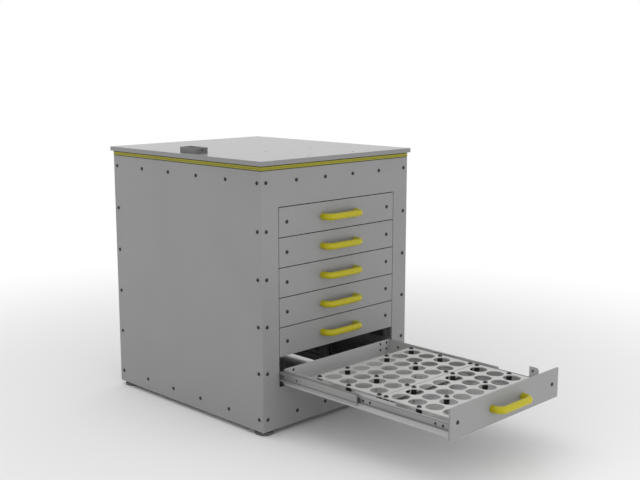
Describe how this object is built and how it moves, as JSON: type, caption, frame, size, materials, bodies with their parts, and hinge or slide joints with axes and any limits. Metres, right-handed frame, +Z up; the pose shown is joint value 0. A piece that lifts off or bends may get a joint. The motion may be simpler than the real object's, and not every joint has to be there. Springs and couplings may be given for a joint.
{
  "type": "small parts cabinet",
  "caption": "Floor-standing steel parts cabinet with a worktop plate and full-extension drawers, each holding two perforated rack plates.",
  "frame": {"origin": "on the floor under the centre of the cabinet's body, halfway across its width and its depth", "axes": "+X runs right along the front, +Y runs from the front to the back, +Z runs up"},
  "size_m": [0.7574, 1.6427, 0.97],
  "materials": {
    "panel": "satin grey powder coat",
    "top_plate": "smooth light grey coat with a soft gloss",
    "frame_profile": "anodised slotted profile",
    "band": "yellow rounded edge band",
    "handle": "glossy yellow bar",
    "tray": "bare folded sheet, satin",
    "rack": "light grey perforated plate",
    "slide": "bright zinc-plated steel",
    "black_screw": "blackened steel and black plastic",
    "plain_screw": "plain steel countersunk screw",
    "foot": "black rubber",
    "nest": "dark grey moulded plastic"
  },
  "bodies": {
    "cabinet": {"corner_posts": "frame_profile", "frame_rails": "frame_profile", "slide_uprights": "frame_profile", "left_panel": "panel", "right_panel": "panel", "back_panel": "panel", "front_panel": "panel", "edge_band": "band", "corner_blocks": "frame_profile", "top_plate": "top_plate", "feet": "foot", "worktop_nest": "nest", "panel_screws": "black_screw", "top_screws": "plain_screw", "cabinet_slides_left": "slide", "cabinet_slides_right": "slide", "slide_screws": "black_screw"},
    "drawer_1": {"drawer_front_1": "panel", "handle_1": "handle", "tray_1": "tray", "rack_plates_1": "rack", "drawer_hardware_1": "black_screw", "drawer_slides_1": "slide"},
    "middle_1": {"middle_slides_1": "slide"},
    "drawer_2": {"drawer_front_2": "panel", "handle_2": "handle", "tray_2": "tray", "rack_plates_2": "rack", "drawer_hardware_2": "black_screw", "drawer_slides_2": "slide"},
    "middle_2": {"middle_slides_2": "slide"},
    "drawer_3": {"drawer_front_3": "panel", "handle_3": "handle", "tray_3": "tray", "rack_plates_3": "rack", "drawer_hardware_3": "black_screw", "drawer_slides_3": "slide"},
    "middle_3": {"middle_slides_3": "slide"},
    "drawer_4": {"drawer_front_4": "panel", "handle_4": "handle", "tray_4": "tray", "rack_plates_4": "rack", "drawer_hardware_4": "black_screw", "drawer_slides_4": "slide"},
    "middle_4": {"middle_slides_4": "slide"},
    "drawer_5": {"drawer_front_5": "panel", "handle_5": "handle", "tray_5": "tray", "rack_plates_5": "rack", "drawer_hardware_5": "black_screw", "drawer_slides_5": "slide"},
    "middle_5": {"middle_slides_5": "slide"},
    "drawer_6": {"drawer_front_6": "panel", "handle_6": "handle", "tray_6": "tray", "rack_plates_6": "rack", "drawer_hardware_6": "black_screw", "drawer_slides_6": "slide"},
    "middle_6": {"middle_slides_6": "slide"}
  },
  "joints": [
    {"name": "drawer_1_slide", "type": "slide", "parent": "cabinet", "child": "drawer_1", "axis": [0, -1, 0], "range_m": [0, 0.736]},
    {"name": "middle_1_slide", "type": "slide", "parent": "cabinet", "child": "middle_1", "axis": [0, -1, 0], "range_m": [0, 0.368]},
    {"name": "drawer_2_slide", "type": "slide", "parent": "cabinet", "child": "drawer_2", "axis": [0, -1, 0], "range_m": [0, 0.736]},
    {"name": "middle_2_slide", "type": "slide", "parent": "cabinet", "child": "middle_2", "axis": [0, -1, 0], "range_m": [0, 0.368]},
    {"name": "drawer_3_slide", "type": "slide", "parent": "cabinet", "child": "drawer_3", "axis": [0, -1, 0], "range_m": [0, 0.736]},
    {"name": "middle_3_slide", "type": "slide", "parent": "cabinet", "child": "middle_3", "axis": [0, -1, 0], "range_m": [0, 0.368]},
    {"name": "drawer_4_slide", "type": "slide", "parent": "cabinet", "child": "drawer_4", "axis": [0, -1, 0], "range_m": [0, 0.736]},
    {"name": "middle_4_slide", "type": "slide", "parent": "cabinet", "child": "middle_4", "axis": [0, -1, 0], "range_m": [0, 0.368]},
    {"name": "drawer_5_slide", "type": "slide", "parent": "cabinet", "child": "drawer_5", "axis": [0, -1, 0], "range_m": [0, 0.736]},
    {"name": "middle_5_slide", "type": "slide", "parent": "cabinet", "child": "middle_5", "axis": [0, -1, 0], "range_m": [0, 0.368]},
    {"name": "drawer_6_slide", "type": "slide", "parent": "cabinet", "child": "drawer_6", "axis": [0, -1, 0], "range_m": [-0.736, 0]},
    {"name": "middle_6_slide", "type": "slide", "parent": "cabinet", "child": "middle_6", "axis": [0, -1, 0], "range_m": [-0.368, 0]}
  ],
  "couplings": [
    {"joint": "middle_1_slide", "follows": "drawer_1_slide", "ratio": 0.5},
    {"joint": "middle_2_slide", "follows": "drawer_2_slide", "ratio": 0.5},
    {"joint": "middle_3_slide", "follows": "drawer_3_slide", "ratio": 0.5},
    {"joint": "middle_4_slide", "follows": "drawer_4_slide", "ratio": 0.5},
    {"joint": "middle_5_slide", "follows": "drawer_5_slide", "ratio": 0.5},
    {"joint": "middle_6_slide", "follows": "drawer_6_slide", "ratio": 0.5}
  ]
}
